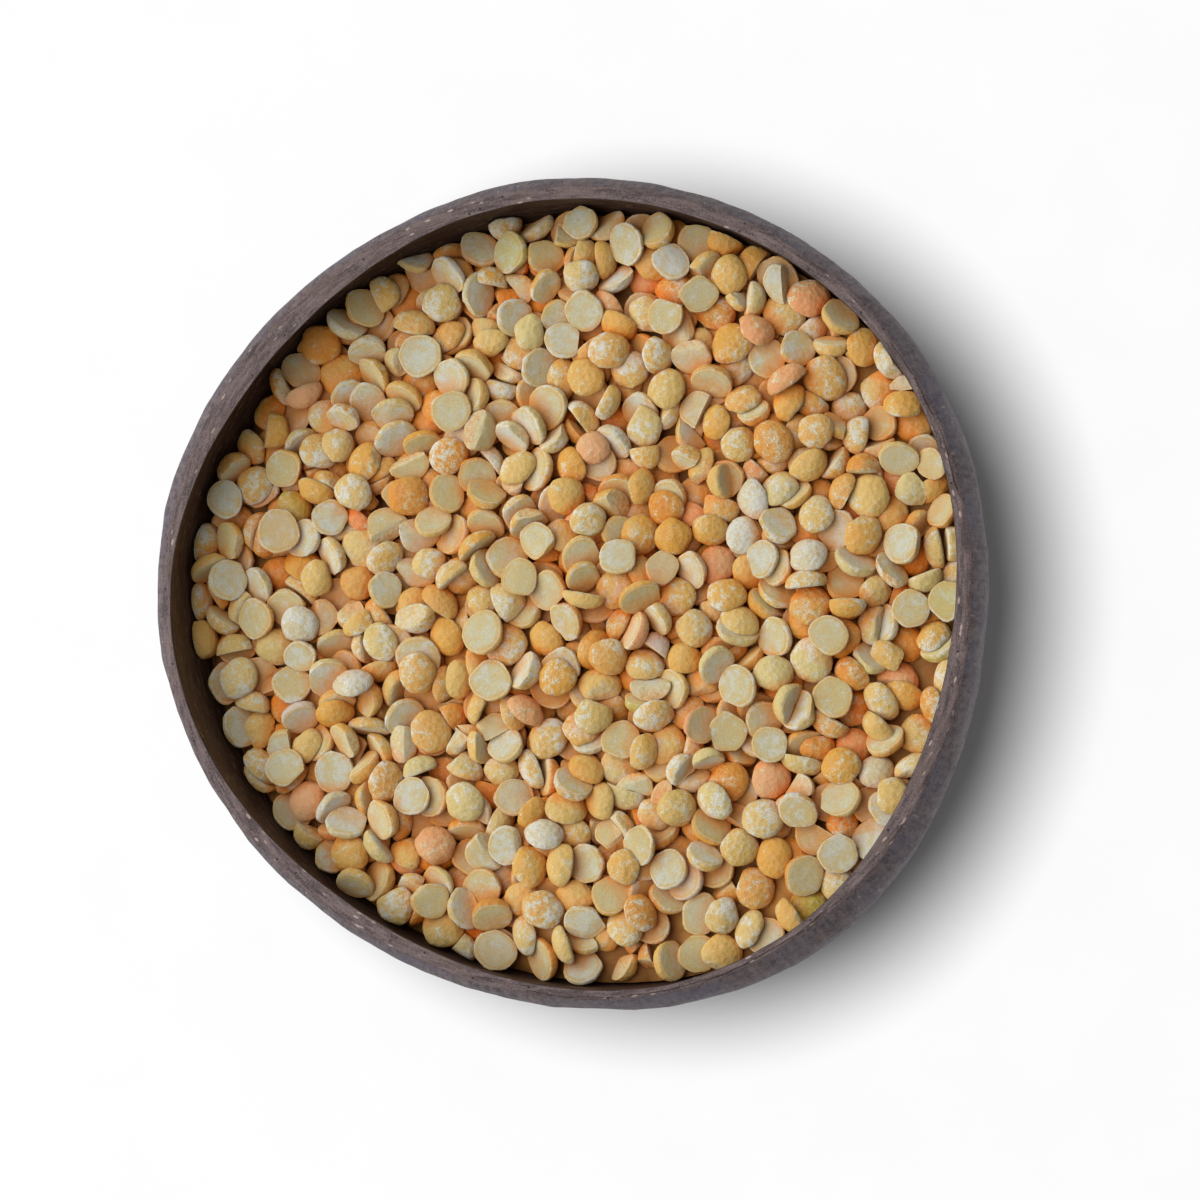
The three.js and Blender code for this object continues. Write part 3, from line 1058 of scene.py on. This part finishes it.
def pea_marks(members, shapes, powder, stream):
    """For each point of some peas, what their material reads: see pea_material."""
    count = len(TEMPLATE)
    size = len(members) * count
    marks = {"local": np.zeros((size, 3))}
    marks |= {name: np.zeros(size) for name in ("lot", "dusty_from", "scuff", "raw")}
    for index, (shape, _, _) in enumerate(members):
        own = slice(index * count, (index + 1) * count)
        body, raw = shapes[shape]
        side = body @ unit(*stream.normal(0, 1, 3)) / (PEA_DIAMETER / 2)
        marks["local"][own] = body + stream.uniform(-TEXTURE_SPREAD, TEXTURE_SPREAD, 3)
        marks["lot"][own] = stream.uniform(0, 1)
        marks["dusty_from"][own] = NO_DUST_FROM - DUST_REACH * stream.uniform(*powder)
        marks["scuff"][own] = side * stream.uniform(*SCUFFS)
        marks["raw"][own] = raw
    marks["face"] = np.tile(FACE_MARK, len(members))
    marks["edge"] = np.tile(EDGE_MARK, len(members))
    return marks


def join_peas(name, points, material, marks):
    """One mesh of all the peas of one kind."""
    count = len(points) // len(TEMPLATE)
    starts = np.arange(count)[:, None, None] * len(TEMPLATE)
    triangles = (PEA_TRIANGLES[None] + starts).reshape(-1, 3)
    piece = make_piece(name, points, triangles, material)
    piece.data.set_sharp_from_angle(angle=math.radians(SHARP_EDGE))
    add_marks(piece, marks)
    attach(piece, "root")
    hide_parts("peas")


def make_peas():
    shapes = pea_shapes()
    settled = poured(shapes)
    stream = np.random.default_rng(HEAP_SEED)
    shares = np.array([kind[0] for kind in KINDS.values()])
    bounds = np.cumsum(shares / shares.sum()) * len(settled)
    order = np.searchsorted(bounds, stream.permutation(len(settled)), side="right")
    tops = heap_tops(placed(settled, shapes)).reshape(len(settled), -1)
    for index, (name, (_, *colours, powder)) in enumerate(KINDS.items()):
        members = [pea for pea, kind in zip(settled, order) if kind == index]
        points = placed(members, shapes)
        marks = pea_marks(members, shapes, powder, stream)
        # How far each point lies below the heap's surface sets its painted gap shade.
        depth = tops[order == index].ravel() - points[:, 2]
        marks["deep"] = np.clip((depth - GAP_START) / GAP_DEPTH, 0, 1)
        join_peas(name, points, pea_material(name, *colours), marks)


# ---------------------------------------------------------------- floor, light and camera

FLOOR_REACH = 3000.0
FLOOR_TONES = ((0.61, 0.61, 0.61, 1), (0.63, 0.63, 0.63, 1))


def make_floor():
    corners = np.array([[-1, -1, 0], [1, -1, 0], [1, 1, 0], [-1, 1, 0]]) * FLOOR_REACH
    n = Nodes("pale_floor", roughness=0.9, shine=0.1)
    grain = n.noise(n.place(), 0.05 * PER_METRE, detail=2)
    n.paint(n.mix(grain, *FLOOR_TONES))
    floor = make_piece("floor", corners, [[0, 1, 2], [0, 2, 3]], n.material)
    return floor


LIGHT_DISTANCE = 1.6  # metres
# Each lamp: direction from +X and height in degrees, size in metres, and how bright it alone
# makes a level white surface.
WINDOW = (170.0, 57.0, 2.4, 1.17)
FLOOR_LIGHT = (180.0, 86.5, 0.6, 1.47)
SKY_STRENGTH = 0.20


def direction(azimuth, elevation):
    a, e = math.radians(azimuth), math.radians(elevation)
    return Vector((math.cos(e) * math.cos(a), math.cos(e) * math.sin(a), math.sin(e)))


def make_lamp(name, azimuth, elevation, size, level):
    lamp = bpy.data.lights.new(name, "AREA")
    lamp.shape = "DISK"
    lamp.size = size
    lamp.energy = level * (math.pi * LIGHT_DISTANCE) ** 2 / math.sin(math.radians(elevation))
    piece = bpy.data.objects.new(name, lamp)
    towards = direction(azimuth, elevation)
    piece.location = towards * LIGHT_DISTANCE
    piece.rotation_euler = towards.to_track_quat("Z", "Y").to_euler()
    bpy.context.scene.collection.objects.link(piece)
    return piece


def link_light(lamp, piece, state):
    """Lets a lamp light this piece alone, for INCLUDE, or all but this piece, for EXCLUDE."""
    group = bpy.data.collections.new(lamp.name + "_receivers")
    group.objects.link(piece)
    group.collection_objects[0].light_linking.link_state = state
    lamp.light_linking.receiver_collection = group


def make_lights(floor):
    """A wide window up on the left, and for the floor a lamp of its own almost overhead."""
    link_light(make_lamp("window", *WINDOW), floor, "EXCLUDE")
    link_light(make_lamp("floor_light", *FLOOR_LIGHT), floor, "INCLUDE")
    world = bpy.data.worlds.new("studio")
    world.use_nodes = True
    background = world.node_tree.nodes["Background"]
    background.inputs["Color"].default_value = (1, 1, 1, 1)
    background.inputs["Strength"].default_value = SKY_STRENGTH
    bpy.context.scene.world = world


CAMERA_TILT = 10.0  # degrees from straight down
CAMERA_AZIMUTH = -14.0  # the side that it leans to, in degrees from +X
CAMERA_DISTANCE = 1200.0
PHOTO_WIDTH = 204.0  # what the photo spans at the rim's height
PHOTO_MIDDLE = (5.5, -1.5)  # from the rim's axis to the middle of the photo


def make_camera():
    view = bpy.data.cameras.new("camera")
    view.sensor_width = 36.0
    view.lens = view.sensor_width * CAMERA_DISTANCE / PHOTO_WIDTH
    view.clip_end = 20.0
    camera = bpy.data.objects.new("camera", view)
    back = direction(CAMERA_AZIMUTH, 90 - CAMERA_TILT)
    aim = Vector((*PHOTO_MIDDLE, BOWL_HEIGHT)) + Vector(AXIS)
    up = (Vector((0, 1, 0)) - back * back.y).normalized()
    right = up.cross(back)
    turn = Matrix((right, up, back)).transposed()
    place = (aim + back * CAMERA_DISTANCE) * MM
    camera.matrix_world = Matrix.Translation(place) @ turn.to_4x4()
    bpy.context.scene.collection.objects.link(camera)
    bpy.context.scene.camera = camera


make_camera()
make_lights(make_floor())
make_shell()
make_core()
make_peas()
bpy.context.scene.view_settings.view_transform = "Standard"
